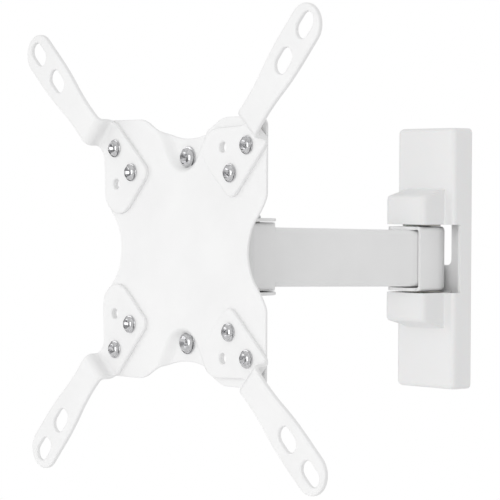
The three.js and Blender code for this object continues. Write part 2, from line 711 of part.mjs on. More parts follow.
function extensionArm() {
  let arm = facing(footOutline(), -ARM_SHEET - GAP / 2, -GAP / 2);
  const riserEnd = FOOT_SHOULDER + ARM_SHEET;
  arm = arm.add(box(FOOT_SHOULDER, -ARM_STEP, -RISER_HALF_W, riserEnd, -GAP / 2, RISER_HALF_W));
  arm = arm.add(facing(paddleOutline(), -ARM_STEP, -ARM_STEP + ARM_SHEET));
  for (const reach of [OUTER_SLOT, INNER_SLOT]) {
    arm = arm.subtract(facing(slot(SLOT_W, SLOT_L, reach, 0, 0), -ARM_STEP - 1, 1));
  }
  for (const reach of [VESA_NEAR, VESA_FAR]) {
    arm = arm.subtract(facing(circle(2.3, reach * Math.SQRT2, 0), -6, 1));
  }
  const spareAlong = (SPARE_REACH + VESA_FAR) / Math.SQRT2;
  const spareAcross = (VESA_FAR - SPARE_REACH) / Math.SQRT2;
  return arm.subtract(facing(circle(SPARE_HOLE_D / 2, spareAlong, spareAcross), -6, 1));
}

// Flanged pan head screw drawn along +Z from its seat at z = 0, with a cross recess.
function panScrew({ head, flange, shank, height, length }) {
  const r = head / 2;
  const body = turned([
    [0, -length], [shank / 2, -length], [shank / 2, 0], [flange / 2, 0], [flange / 2, 0.6],
    [r, 0.75], [r * 0.96, height * 0.6], [r * 0.72, height * 0.92], [0, height],
  ], 16);
  const arm = r * 0.5;
  const web = r * 0.12;
  const top = height + 1;
  const floor = height * 0.35;
  const cross = box(-arm, -web, floor, arm, web, top).add(box(-web, -arm, floor, web, arm, top));
  return body.subtract(cross);
}

// Stands a screw or nut that was drawn along +Z on the plate so that it points away from the wall.
function addFacing(name, solid, material, [x, y, z], spin) {
  const piece = addPiece(name, solid, material, plateCentre);
  piece.position.set(x, y, z);
  piece.rotation.set(Math.PI / 2, 0, spin);
}

// Two arms are plain and two are their mirror images; each stands on its own diagonal.
const armSolids = new Map();
for (const corner of CORNERS) {
  const { sx, sz, name } = corner;
  const holder = groupAt(0, 0, 0, plateCentre);
  const middle = (VESA_NEAR + VESA_FAR) / 2;
  holder.position.set(sx * middle, 0, sz * middle);
  holder.rotation.y = -ARM_CLOCKING;
  const spare = spareHole(corner);
  const heading = Math.atan2(sz, sx);
  const mirrored = (Math.cos(heading) * spare[1] - Math.sin(heading) * spare[0]) < 0;
  if (!armSolids.has(mirrored)) {
    const plain = extensionArm();
    armSolids.set(mirrored, mirrored ? plain.mirror([0, 0, 1]) : plain);
  }
  const arm = addPiece(`extension_arm_${name}`, armSolids.get(mirrored), paintedSteel(), holder);
  arm.rotation.y = -heading;
  arm.position.set(-sx * middle, 0, -sz * middle);
}

const seat = -ARM_SHEET - GAP / 2 - PLAY; // under the corner screws' heads
for (const { sx, sz, name } of CORNERS) {
  for (const [reach, place] of [[VESA_NEAR, 'inner'], [VESA_FAR, 'outer']]) {
    const [x, z] = clocked(sx, sz, sx * reach, sz * reach);
    const spin = sx * 0.4 + sz * 0.9 + reach;
    const screw = panScrew(CORNER_SCREW);
    const nut = hexNut(7, 4.5, -3.2, 0);
    addFacing(`corner_screw_${name}_${place}`, screw, brightSteel(), [x, seat, z], spin);
    addFacing(`corner_nut_${name}_${place}`, nut, platedSteel(), [x, PLATE_SHEET + PLAY, z], spin);
  }
}

for (const [side, name] of [[1, 'upper'], [-1, 'lower']]) {
  const z = side * CENTRE_SCREW_UP;
  const spin = side * 0.5;
  const nut = hexNut(8, 5.5, -4, 0);
  const nutFace = BRACKET_IN + BRACKET_SHEET + PLAY;
  addFacing(`centre_screw_${name}`, panScrew(CENTRE_SCREW), brightSteel(), [0, POCKET_DEPTH - PLAY, z], spin);
  addFacing(`centre_nut_${name}`, nut, platedSteel(), [0, nutFace, z], spin);
}

export default mount;
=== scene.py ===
"""Looks of a white swing-arm screen mount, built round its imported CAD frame.

Each piece is made in millimetres about its own datum and then settled into the part's frame in
metres. Flat stock is drawn facing the viewer (X right, Y up, Z out of the sheet) and folded.
"""

import json
import math

import bmesh
import bpy
from mathutils import Matrix, Vector


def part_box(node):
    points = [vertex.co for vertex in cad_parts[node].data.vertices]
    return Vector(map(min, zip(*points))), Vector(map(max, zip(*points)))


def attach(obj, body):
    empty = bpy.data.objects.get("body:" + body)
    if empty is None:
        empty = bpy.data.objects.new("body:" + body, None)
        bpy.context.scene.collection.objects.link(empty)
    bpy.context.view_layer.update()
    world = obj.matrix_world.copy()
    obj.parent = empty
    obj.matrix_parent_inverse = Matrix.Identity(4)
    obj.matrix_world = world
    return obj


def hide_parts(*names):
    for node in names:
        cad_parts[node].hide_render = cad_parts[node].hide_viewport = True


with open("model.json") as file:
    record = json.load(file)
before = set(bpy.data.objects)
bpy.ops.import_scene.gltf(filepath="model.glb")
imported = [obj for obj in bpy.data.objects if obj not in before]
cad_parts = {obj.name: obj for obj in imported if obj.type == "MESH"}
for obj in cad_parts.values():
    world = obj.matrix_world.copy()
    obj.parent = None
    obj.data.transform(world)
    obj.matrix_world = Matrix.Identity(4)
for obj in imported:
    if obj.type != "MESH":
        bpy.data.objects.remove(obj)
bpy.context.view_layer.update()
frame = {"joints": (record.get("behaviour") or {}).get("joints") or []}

# ---- datums from the frame, in millimetres -------------------------------------------------------

MM = 0.001
PIVOTS = {joint["name"]: Vector(joint["pos_m"]) / MM for joint in frame["joints"]}
WALL_HINGE = PIVOTS["arm_swivel"]
HEAD_HINGE = PIVOTS["head_swivel"]
TILT_AXIS = PIVOTS["head_tilt"]
plate_low, plate_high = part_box("vesa_plate")
PLATE = Vector((0, plate_low.y, (plate_low.z + plate_high.z) / 2)) / MM
ARM_LENGTH = WALL_HINGE.y - HEAD_HINGE.y
ARM_RISE = HEAD_HINGE.z - WALL_HINGE.z

# Sheets drawn facing the viewer stand upright, facing away from the wall.
FACING = Matrix(((1, 0, 0, 0), (0, 0, -1, 0), (0, 1, 0, 0), (0, 0, 0, 1)))


def at(x, y, z):
    return Matrix.Translation((x, y, z))


def turn(degrees, axis="Z"):
    return Matrix.Rotation(math.radians(degrees), 4, axis)


# ---- outlines: lists of points -------------------------------------------------------------------

def arc(x, y, radius, start, end, steps=8):
    angles = [math.radians(start + (end - start) * i / steps) for i in range(steps + 1)]
    return [(x + radius * math.cos(a), y + radius * math.sin(a)) for a in angles]


def circle(radius, x=0, y=0, steps=48):
    return arc(x, y, radius, 0, 360, steps)[1:]


def bezier(a, b, c, d, steps=8):
    points = []
    for i in range(steps + 1):
        t = i / steps
        s = 1 - t
        weights = (s ** 3, 3 * s * s * t, 3 * s * t * t, t ** 3)
        points.append(tuple(sum(w * p[k] for w, p in zip(weights, (a, b, c, d))) for k in (0, 1)))
    return points


def rounded_rect(x0, y0, x1, y1, radius, steps=8):
    return [
        *arc(x1 - radius, y0 + radius, radius, -90, 0, steps),
        *arc(x1 - radius, y1 - radius, radius, 0, 90, steps),
        *arc(x0 + radius, y1 - radius, radius, 90, 180, steps),
        *arc(x0 + radius, y0 + radius, radius, 180, 270, steps),
    ]


def slot(width, length, x, y, angle=0):
    reach = (length - width) / 2
    dx, dy = reach * math.cos(math.radians(angle)), reach * math.sin(math.radians(angle))
    return [
        *arc(x + dx, y + dy, width / 2, angle - 90, angle + 90, 14),
        *arc(x - dx, y - dy, width / 2, angle + 90, angle + 270, 14),
    ]


def rounded(corners, closed=True, steps=7):
    """An outline whose corners, each (x, y, radius), are rounded; radius 0 leaves a plain point."""
    points = []
    count = len(corners)
    for i, (x, y, radius) in enumerate(corners):
        if radius == 0 or (not closed and i in (0, count - 1)):
            points.append((x, y))
            continue
        here = Vector((x, y))
        before = (Vector(corners[i - 1][:2]) - here).normalized()
        after = (Vector(corners[(i + 1) % count][:2]) - here).normalized()
        half = math.acos(max(-1, min(1, before.dot(after)))) / 2
        start = here + before * (radius / math.tan(half))
        centre = here + (before + after).normalized() * (radius / math.sin(half))
        first = math.degrees(math.atan2(start.y - centre.y, start.x - centre.x))
        sweep = math.degrees(math.pi - 2 * half)
        if before.x * after.y - before.y * after.x > 0:
            sweep = -sweep
        points += arc(centre.x, centre.y, radius, first, first + sweep, steps)
    return points


def without_repeats(loop):
    return [p for i, p in enumerate(loop) if math.dist(p, loop[i - 1]) > 1e-4]


# ---- meshes --------------------------------------------------------------------------------------

def linked(name, data):
    thing = bpy.data.objects.new(name, data)
    bpy.context.scene.collection.objects.link(thing)
    return thing


def from_bmesh(bm, name="shape"):
    bmesh.ops.recalc_face_normals(bm, faces=bm.faces)
    mesh = bpy.data.meshes.new(name)
    bm.to_mesh(mesh)
    bm.free()
    return linked(name, mesh)


def evaluated_mesh(thing):
    depsgraph = bpy.context.evaluated_depsgraph_get()
    return bpy.data.meshes.new_from_object(thing.evaluated_get(depsgraph))


def discard(thing):
    bpy.data.objects.remove(thing)


def sheet(outline, holes=(), thickness=2.0, edge=0.3, base=0.0):
    """Flat stock in the XY plane from z = base, with its edges softly rounded by the coating."""
    curve = bpy.data.curves.new("outline", "CURVE")
    curve.dimensions = "2D"
    curve.fill_mode = "BOTH"
    curve.extrude = thickness / 2 - edge
    curve.bevel_depth = edge
    curve.bevel_resolution = 3
    curve.offset = -edge
    for loop in (outline, *holes):
        loop = without_repeats(loop)
        spline = curve.splines.new("POLY")
        spline.points.add(len(loop) - 1)
        for point, (x, y) in zip(spline.points, loop):
            point.co = (x, y, 0, 1)
        spline.use_cyclic_u = True
    flat = linked("outline", curve)
    mesh = evaluated_mesh(flat)
    discard(flat)
    bm = bmesh.new()
    bm.from_mesh(mesh)
    bmesh.ops.remove_doubles(bm, verts=bm.verts, dist=0.004)
    bmesh.ops.translate(bm, verts=bm.verts, vec=(0, 0, base + thickness / 2))
    return from_bmesh(bm)


def score(thing, axis, places):
    """Adds edge lines across a mesh where it will bend."""
    bm = bmesh.new()
    bm.from_mesh(thing.data)
    across = Vector((0, 0, 0))
    across[axis] = 1
    for place in places:
        everything = [*bm.verts, *bm.edges, *bm.faces]
        bmesh.ops.bisect_plane(bm, geom=everything, plane_co=across * place, plane_no=across, dist=1e-4)
    bm.to_mesh(thing.data)
    bm.free()


def flattened_back(thing, z):
    """Takes the rounding off the back edge of flat stock, which then lies close on what is under it."""
    for vertex in thing.data.vertices:
        vertex.co.z = max(vertex.co.z, z)


def fold(thing, axis, start, way, radius, middle, up=1, only=None):
    """Folds stock square about a line across it at start: what lies past the line, on the side way
    (+1 or -1) of the axis, turns towards +Z for up = 1 or -Z for up = -1. middle is the height of
    the stock's mid plane and radius the bend's radius there."""
    length = radius * math.pi / 2
    score(thing, axis, [start + way * length * i / 6 for i in range(7)])
    for vertex in thing.data.vertices:
        past = way * (vertex.co[axis] - start)
        if past <= 0 or (only and not only(vertex.co)):
            continue
        height = up * (vertex.co.z - middle)
        angle = min(past / radius, math.pi / 2)
        beyond = max(0, past - length)
        reach = (radius - height) * math.sin(angle)
        rise = radius - (radius - height) * math.cos(angle) + beyond
        vertex.co[axis] = start + way * reach
        vertex.co.z = middle + up * rise


def polar(rings, segments=48):
    """A turned or hexagonal solid round Z. Each ring is (radius, z), or a function of the angle
    giving them; a ring of radius 0 closes an end, and rings that don't end there join up."""
    bm = bmesh.new()
    loops = []
    for ring in rings:
        if not callable(ring) and ring[0] == 0:
            loops.append([bm.verts.new((0, 0, ring[1]))])
            continue
        loop = []
        for i in range(segments):
            angle = 2 * math.pi * i / segments
            radius, z = ring(angle) if callable(ring) else ring
            loop.append(bm.verts.new((radius * math.cos(angle), radius * math.sin(angle), z)))
        loops.append(loop)
    pairs = list(zip(loops, loops[1:]))
    if len(loops[0]) > 1:
        pairs.append((loops[-1], loops[0]))
    for low, high in pairs:
        for i in range(segments):
            j = (i + 1) % segments
            corners = [low[i % len(low)], low[j % len(low)], high[j % len(high)], high[i % len(high)]]
            bm.faces.new(list(dict.fromkeys(corners)))
    return from_bmesh(bm)


def prism(outline, z0, z1):
    """A plain upright prism, used as a cutter."""
    bm = bmesh.new()
    face = bm.faces.new([bm.verts.new((x, y, z0)) for x, y in without_repeats(outline)])
    raised = bmesh.ops.extrude_face_region(bm, geom=[face])
    verts = [g for g in raised["geom"] if isinstance(g, bmesh.types.BMVert)]
    bmesh.ops.translate(bm, verts=verts, vec=(0, 0, z1 - z0))
    return from_bmesh(bm)


def moved(thing, matrix):
    thing.data.transform(matrix)
    if matrix.determinant() < 0:
        thing.data.flip_normals()
    return thing


def combine(thing, other, operation):
    """Cuts (DIFFERENCE) or joins (UNION) other into thing, and discards other."""
    modifier = thing.modifiers.new(operation, "BOOLEAN")
    modifier.operation = operation
    modifier.object = other
    modifier.solver = "EXACT"
    mesh = evaluated_mesh(thing)
    thing.modifiers.clear()
    thing.data = mesh
    discard(other)
    return thing


def softened(thing, width, angle=50, segments=2):
    """Rounds over the sharp edges that cutting leaves."""
    lip = thing.modifiers.new("lips", "BEVEL")
    lip.width = width
    lip.segments = segments
    lip.limit_method = "ANGLE"
    lip.angle_limit = math.radians(angle)
    thing.data = evaluated_mesh(thing)
    thing.modifiers.clear()
    return thing


def joined(*things):
    """One object out of several that only touch."""
    bm = bmesh.new()
    for thing in things:
        bm.from_mesh(thing.data)
        discard(thing)
    return from_bmesh(bm)


# ---- materials -----------------------------------------------------------------------------------

NOISE_MIDDLE = (0.3, 0.7)  # where most of a noise's values fall


class Tree:
    """A small helper that builds a node tree."""

    def __init__(self, owner):
        owner.use_nodes = True
        self.tree = owner.node_tree
        self.tree.nodes.clear()

    def add(self, kind, **values):
        node = self.tree.nodes.new(kind)
        for key, value in values.items():
            if key in node.inputs.keys():
                node.inputs[key].default_value = value
            else:
                setattr(node, key, value)
        return node

    def link(self, source, output, target, target_input):
        self.tree.links.new(source.outputs[output], target.inputs[target_input])

    def ranged(self, source, output, start, end, low, high):
        """Maps start..end of a number onto low..high."""
        node = self.add("ShaderNodeMapRange")
        for key, value in (("From Min", start), ("From Max", end), ("To Min", low), ("To Max", high)):
            node.inputs[key].default_value = value
        self.link(source, output, node, "Value")
        return node


class Surface(Tree):
    """One material's node tree, round its shader."""

    def __init__(self, name, **constants):
        """The constants go on the shader's own sockets; an underscore stands for a space."""
        self.material = bpy.data.materials.new(name)
        super().__init__(self.material)
        self.shader = self.add("ShaderNodeBsdfPrincipled")
        for key, value in constants.items():
            self.shader.inputs[key.replace("_", " ")].default_value = value
        output = self.add("ShaderNodeOutputMaterial")
        self.link(self.shader, "BSDF", output, "Surface")
        self.place = self.add("ShaderNodeTexCoord")

    def noise(self, scale, detail=2.0, roughness=0.5, stretch=None):
        node = self.add("ShaderNodeTexNoise", Scale=scale, Detail=detail, Roughness=roughness)
        if stretch is None:
            self.link(self.place, "Object", node, "Vector")
            return node
        mapping = self.add("ShaderNodeMapping", Scale=stretch)
        self.link(self.place, "Object", mapping, "Vector")
        self.link(mapping, "Vector", node, "Vector")
        return node

    def tint(self, source, dark, light):
        ramp = self.add("ShaderNodeValToRGB")
        for element, place, colour in zip(ramp.color_ramp.elements, NOISE_MIDDLE, (dark, light)):
            element.position = place
            element.color = (*colour, 1)
        self.link(source, "Fac", ramp, "Fac")
        self.link(ramp, "Color", self.shader, "Base Color")

    def roughen(self, source, low, high):
        self.link(self.ranged(source, "Fac", *NOISE_MIDDLE, low, high), "Result", self.shader, "Roughness")

    def bump(self, *heights):
        """Heights are (noise, distance in metres), stacked one on another."""
        last = None
        for source, distance in heights:
            node = self.add("ShaderNodeBump", Strength=1.0, Distance=distance)
            self.link(source, "Fac", node, "Height")
            if last:
                self.link(last, "Normal", node, "Normal")
            last = node
        self.link(last, "Normal", self.shader, "Normal")


def powder_coat():
    """White powder coat on steel: a fine orange peel, with faint cloudiness in tone and gloss."""
    coat = Surface("powder_coat", IOR=1.5, Coat_Weight=0.12, Coat_Roughness=0.3)
    coat.tint(coat.noise(38.0, 3.0), (0.83, 0.83, 0.83), (0.86, 0.86, 0.86))
    coat.roughen(coat.noise(160.0, 4.0), 0.36, 0.5)
    peel = coat.noise(1150.0, 1.0)
    grain = coat.noise(3800.0, 2.0, 0.6)
    coat.bump((peel, 1.1e-5), (grain, 2.0e-6))
    return coat.material


def moulded_plastic():
    """White ABS: a fine spark-eroded texture and the slight flow marks of moulding."""
    plastic = Surface("moulded_plastic", IOR=1.52, Subsurface_Weight=0.03, Subsurface_Scale=0.002)
    flow = plastic.noise(22.0, 2.0, 0.45, stretch=(1.0, 1.0, 0.35))
    plastic.tint(flow, (0.82, 0.82, 0.82), (0.85, 0.85, 0.85))
    plastic.roughen(plastic.noise(300.0, 3.0), 0.4, 0.52)
    sink = plastic.noise(60.0, 1.0)
    texture = plastic.noise(5200.0, 2.0, 0.7)
    plastic.bump((sink, 3.0e-5), (texture, 2.5e-6))
    return plastic.material


def natural_nylon():
    """Uncoloured nylon, slightly translucent."""
    nylon = Surface("natural_nylon", Subsurface_Weight=0.1, Subsurface_Scale=0.001)
    nylon.tint(nylon.noise(240.0), (0.66, 0.64, 0.58), (0.74, 0.73, 0.68))
    nylon.roughen(nylon.noise(900.0), 0.42, 0.58)
    nylon.bump((nylon.noise(2600.0), 4.0e-6))
    return nylon.material


def bright_nickel():
    """Nickel-plated screws: bright, with fine scuffs where a driver has turned in them."""
    nickel = Surface("bright_nickel", Metallic=1.0)
    nickel.tint(nickel.noise(700.0, 3.0), (0.5, 0.5, 0.51), (0.72, 0.72, 0.73))
    nickel.roughen(nickel.noise(1400.0, 4.0, 0.65), 0.07, 0.2)
    nickel.bump((nickel.noise(1800.0, 3.0), 1.2e-5))
    return nickel.material


def zinc_plate():
    """Zinc-plated bolts, nuts and washers: greyer, with turning marks and a mottled passivation."""
    zinc = Surface("zinc_plate", Metallic=1.0)
    zinc.tint(zinc.noise(420.0, 4.0, 0.6), (0.4, 0.41, 0.43), (0.6, 0.6, 0.6))
    zinc.roughen(zinc.noise(1200.0, 4.0), 0.26, 0.45)
    turning = zinc.noise(900.0, stretch=(1.0, 1.0, 5.0))
    zinc.bump((turning, 6.0e-6), (zinc.noise(5000.0), 2.0e-6))
    return zinc.material


FINISHES = {
    "painted_steel": powder_coat(),
    "moulded_cover": moulded_plastic(),
    "nylon": natural_nylon(),
    "bright_screws": bright_nickel(),
    "plated_hardware": zinc_plate(),
}


def settle(thing, name, place, body, finish, *stands_for, crease=32):
    """Puts a finished piece in the part's frame, on its body, in place of its CAD nodes."""
    moved(thing, Matrix.Scale(MM, 4) @ place)
    thing.name = thing.data.name = name
    thing.data.materials.clear()
    thing.data.materials.append(FINISHES[finish])
    thing.data.shade_smooth()
    thing.data.set_sharp_from_angle(angle=math.radians(crease))
    weighted = thing.modifiers.new("even shading", "WEIGHTED_NORMAL")
    weighted.keep_sharp = True
    weighted.weight = 100
    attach(thing, body)
    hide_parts(*stands_for)
    return thing


# ---- fasteners, drawn up Z -----------------------------------------------------------------------

PLAY = 0.1  # what is left between pieces that bear on each other
# Nuts are (across flats, height, bore). Pan screws are (head, flange, height, shank, length, pitch).
PIVOT_NUT = (16, 6, 10.2)
TILT_NUT = (10, 5, 6.2)
CORNER_NUT = (7, 3.2, 4.2)
CENTRE_NUT = (8, 4, 5.2)
CORNER_SCREW = (7.2, 8.8, 2.7, 4, 9, 0.7)
CENTRE_SCREW = (9, 11.2, 3.2, 5, 12, 0.8)


def hex_radius(across, angle):
    step = math.pi / 3
    return across / 2 / math.cos((angle + step / 2) % step - step / 2)


def chamfered_hex(across, z0, z1, bore=0.0, flat_under=False):
    """A hexagon with its corners turned off at both ends, or only on top; bored, or solid."""
    crown = across / 2 * 0.96
    drop = math.tan(math.radians(30))
    lip = 0.35
    dish = 0.05

    def turned(z, sense):
        def place(angle):
            radius = hex_radius(across, angle)
            return radius - 0.02, z - sense * (max(0, radius - crown) * drop + 0.04)
        return place

    def plain(inset, z):
        return lambda angle: (hex_radius(across, angle) - inset, z)

    top = [turned(z1, 1), (crown, z1)]
    under = [plain(0.1, z0), plain(0, z0 + 0.1)] if flat_under else [(crown, z0), turned(z0, -1)]
    if bore:
        hole = bore / 2
        mouth = [(hole + lip, z1), (hole, z1 - lip), (hole, z0 + lip), (hole + lip, z0)]
        return polar([*under, *top, *mouth], 72)
    return polar([(0, z0), *under, *top, (crown * 0.55, z1 - dish), (0, z1 - dish)], 72)


def nut_below(size, top):
    across, height, bore = size
    return chamfered_hex(across, top - height, top, bore)


def washer(outer, inner, z0, z1, edge=0.15):
    return polar([
        (inner, z0 + edge), (inner + edge, z0), (outer - edge, z0), (outer, z0 + edge),
        (outer, z1 - edge), (outer - edge, z1), (inner + edge, z1), (inner, z1 - edge),
    ], 64)


def thread(radius, pitch, z0, z1, segments=30):
    """A threaded rod from z0 up to z1, its helix fading out at both ends."""
    depth = pitch * 0.55
    rows = max(4, round((z1 - z0) / pitch * 7))

    def row(z):
        def place(angle):
            phase = (z / pitch - angle / (2 * math.pi)) % 1
            groove = 1 - abs(2 * phase - 1)
            fade = min(1, (z - z0) / pitch, (z1 - z) / pitch)
            return radius - depth * max(0, fade) * groove, z
        return place

    turns = [row(z0 + (z1 - z0) * i / rows) for i in range(1, rows)]
    return polar([(0, z0), (radius - depth, z0), *turns, (radius - depth, z1), (0, z1)], segments)


def cross_recess(width, depth, top):
    """The tapered four-winged hole of a Phillips screw."""
    bm = bmesh.new()
    loops = []
    for scale, z in ((1.12, top + 0.6), (1.0, top), (0.42, top - depth)):
        wing, web = width / 2 * scale, width * 0.15 * (0.5 + 0.5 * scale)
        quarter = [(wing, -web), (wing, web), (web * 1.5, web * 1.5)]
        loop = []
        for i in range(4):
            spin = turn(90 * i)
            loop += [bm.verts.new(spin @ Vector((x, y, z))) for x, y in quarter]
        loops.append(loop)
    for low, high in zip(loops, loops[1:]):
        for i in range(12):
            j = (i + 1) % 12
            bm.faces.new([low[i], low[j], high[j], high[i]])
    bm.faces.new(loops[0])
    tip = bm.verts.new((0, 0, top - depth - 0.5))
    for i in range(12):
        bm.faces.new([loops[-1][i], loops[-1][(i + 1) % 12], tip])
    return from_bmesh(bm)


def pan_screw(head, flange, height, shank, length, pitch):
    """A flanged pan head on a threaded shank; the seat is at z = 0."""
    r, brim, neck = head / 2, flange / 2, 0.95
    dome = []
    for degrees in (0, 12, 25, 38, 50, 62, 73, 82):
        angle = math.radians(degrees)
        dome.append((r * math.cos(angle) ** 0.75, neck + (height - neck) * math.sin(angle)))
    body = polar([
        (0, 0), (brim - 0.12, 0), (brim, 0.12), (brim, 0.42), (brim - 0.15, 0.6),
        (r + 0.25, 0.72), (r + 0.04, 0.84), *dome, (0, height),
    ], 60)
    body = combine(body, cross_recess(head * 0.7, height * 0.72, height), "DIFFERENCE")
    return joined(body, thread(shank / 2, pitch, -length, 0.05, 24))


# ---- the wall side -------------------------------------------------------------------------------

PIVOT_HOLE_R = 5.4
SHEET_EDGE = 0.3
WALL_SHEET = 2.5
WALL_HALF_W = 19.0
WALL_HALF_H = 65.5
WALL_BEND = 2.45
TAB_INSIDE = 18.0
TAB_R = 8.4
TAB_OPENING_HALF = 8.7
TAB_OPENING_H = 21.7
ANCHOR_UP = 49.0
ANCHOR_SLOT = (6.5, 14)
COVER_BACK = 0.15
COVER_HALF_W = 21.15
COVER_HALF_H = 68.45
COVER_D = 13.4
COVER_SKIN = 1.8
COVER_CORNER = 2.6
COVER_EDGE = 2.6
HOOD_HALF = 14.5
HOOD_PROUD = 15.5
HOOD_FRONT_END = 32.6
HOOD_BACK_END = 36.4
HOOD_CORNER = 2.8
HOOD_NOSE = 2.6
HOOD_ROOT = 1.2
HOOD_FILLET = 0.9
HOOD_DRAFT = 0.2
WINDOW = 17.85
SIDE_REACH = 8.4


def wall_plate():
    """The plate with its two tabs, cut free on three sides and folded out square."""
    middle = WALL_SHEET / 2
    hinge_up = WALL_HINGE.z
    holes = [slot(*ANCHOR_SLOT, 0, side * ANCHOR_UP - hinge_up, 90) for side in (1, -1)]
    tabs = []
    for tab_top in (TAB_INSIDE + WALL_SHEET, -TAB_INSIDE):
        start = tab_top - middle + WALL_BEND
        bottom = tab_top - WALL_SHEET - TAB_OPENING_H
        left, right = -TAB_OPENING_HALF, TAB_OPENING_HALF
        corners = [(left, start, 0.5), (left, bottom, 3), (right, bottom, 3), (right, start, 0.5)]
        holes.append(rounded(corners))
        far = start - WALL_BEND * math.pi / 2 - (-WALL_HINGE.y - middle - WALL_BEND)
        outline = [(-TAB_R, start + 0.2), *arc(0, far, TAB_R, 180, 360, 24), (TAB_R, start + 0.2)]
        tab = sheet(outline, [circle(PIVOT_HOLE_R, 0, far)], WALL_SHEET, SHEET_EDGE)
        fold(tab, 1, start, -1, WALL_BEND, middle)
        tabs.append(tab)
    border = rounded_rect(-WALL_HALF_W, -WALL_HALF_H, WALL_HALF_W, WALL_HALF_H, 3)
    web = sheet(border, holes, WALL_SHEET, SHEET_EDGE)
    place = at(0, 0, hinge_up) @ FACING
    settle(joined(web, *tabs), "wall_plate_pressing", place, "wall", "painted_steel", "wall_plate")


def hood_profile(skin):
    """(hood depth, height) up one end of the cover, from the window's edge."""
    return rounded([
        (HOOD_PROUD, WINDOW, 0), (HOOD_PROUD, HOOD_FRONT_END - skin, HOOD_NOSE - skin / 2),
        (0, HOOD_BACK_END - skin, HOOD_ROOT + skin / 2), (0, COVER_HALF_H - COVER_EDGE, 0),
    ], closed=False, steps=8)


def cover_section(skin, inset, hood):
    """Half of the cover's plan outline at one height, from its back edge to its middle."""
    half = COVER_HALF_W - skin - inset
    depth = COVER_D - skin - inset
    corner = max(0.6, COVER_CORNER - skin - inset * 0.5)
    side = HOOD_HALF - skin
    root_x = HOOD_FILLET + skin / 3
    round_x = HOOD_CORNER - skin
    root_y, round_y = min(root_x, hood / 2), min(round_x, hood / 2)
    quarter = [(1 - math.sin(math.pi * i / 12), 1 - math.cos(math.pi * i / 12)) for i in range(7)]
    points = [(half, -COVER_BACK), (half, -SIDE_REACH), (half, -(depth - corner))]
    points += [(half - corner * c, -(depth - corner * s)) for s, c in quarter[1:]]
    points += [(side + root_x * s, -(depth + root_y * c)) for s, c in quarter]
    points += [(side - HOOD_DRAFT - round_x * c, -(depth + hood - round_y * s)) for s, c in quarter]
    return points


def wall_cover():
    """The moulded cover: a thin shell lofted up through its sections, open at the back, with a hood
    over each hinge tab and a window between them that leaves only its side walls."""
    bm = bmesh.new()
    shells = []
    for skin in (0.0, COVER_SKIN):
        rise = [(z, 0.0, hood) for hood, z in hood_profile(skin)]
        top = COVER_HALF_H - COVER_EDGE
        for i in range(1, 8):
            angle = math.radians(90 * i / 7)
            edge = COVER_EDGE - skin / 2
            rise.append((top - skin / 2 + edge * math.sin(angle), edge * (1 - math.cos(angle)), 0.0))
        levels = [(-z, inset, hood) for z, inset, hood in reversed(rise)] + rise
        rings = []
        for z, inset, hood in levels:
            half = cover_section(skin, inset, hood)
            ring = half + [(-x, y) for x, y in reversed(half)]
            rings.append([bm.verts.new((x, y, z)) for x, y in ring])
        shells.append(rings)
    outer, inner = shells
    count = len(outer[0])
    window = len(outer) // 2 - 1
    for rings in shells:
        for level, (low, high) in enumerate(zip(rings, rings[1:])):
            spans = (0, count - 2) if level == window else range(count - 1)
            for j in spans:
                bm.faces.new([low[j], low[j + 1], high[j + 1], high[j]])
        for cap in (rings[0], rings[-1]):
            bm.faces.new(cap)
    for level in range(len(outer) - 1):
        for j in (0, -1):
            bm.faces.new([outer[level][j], outer[level + 1][j], inner[level + 1][j], inner[level][j]])
    for level in (0, -1):
        bm.faces.new([outer[level][0], outer[level][-1], inner[level][-1], inner[level][0]])
    for level in (window, window + 1):
        for j in range(1, count - 2):
            bm.faces.new([outer[level][j], outer[level][j + 1], inner[level][j + 1], inner[level][j]])
    for j in (1, count - 2):
        bm.faces.new([outer[window][j], outer[window + 1][j], inner[window + 1][j], inner[window][j]])
    cover = softened(from_bmesh(bm), 0.35, 55)
    settle(cover, "wall_cover_moulding", at(0, 0, WALL_HINGE.z), "wall", "moulded_cover", "wall_cover")


# ---- the hinges ----------------------------------------------------------------------------------

KNUCKLE_R = 12.0
KNUCKLE_HALF = 16.8
KNUCKLE_LEG = 12.8
KNUCKLE_TONGUE = 17.2
KNUCKLE_SKIN = 1.7
KNUCKLE_ROUND = 2.0
TUBE_HALF_W = 9.9
TUBE_HALF_H = 14.7
TUBE_ROUND = 3.0
TUBE_WALL = 1.8
BUSH_R = 8.0
BUSH_HALF = 14.8
NYLON_R = 10.0
PIVOT_R = 5.0
PIVOT_PITCH = 1.5
PIVOT_TIP = 30.0
PIVOT_WASHER_R = 8.4
PIVOT_WASHER = 1.6


def side_prism(outline, x0, x1):
    """A prism along X from a side outline of (y, z) points."""
    lying = Matrix(((0, 0, 1, 0), (1, 0, 0, 0), (0, 1, 0, 0), (0, 0, 0, 1)))
    return moved(prism(outline, x0, x1), lying)


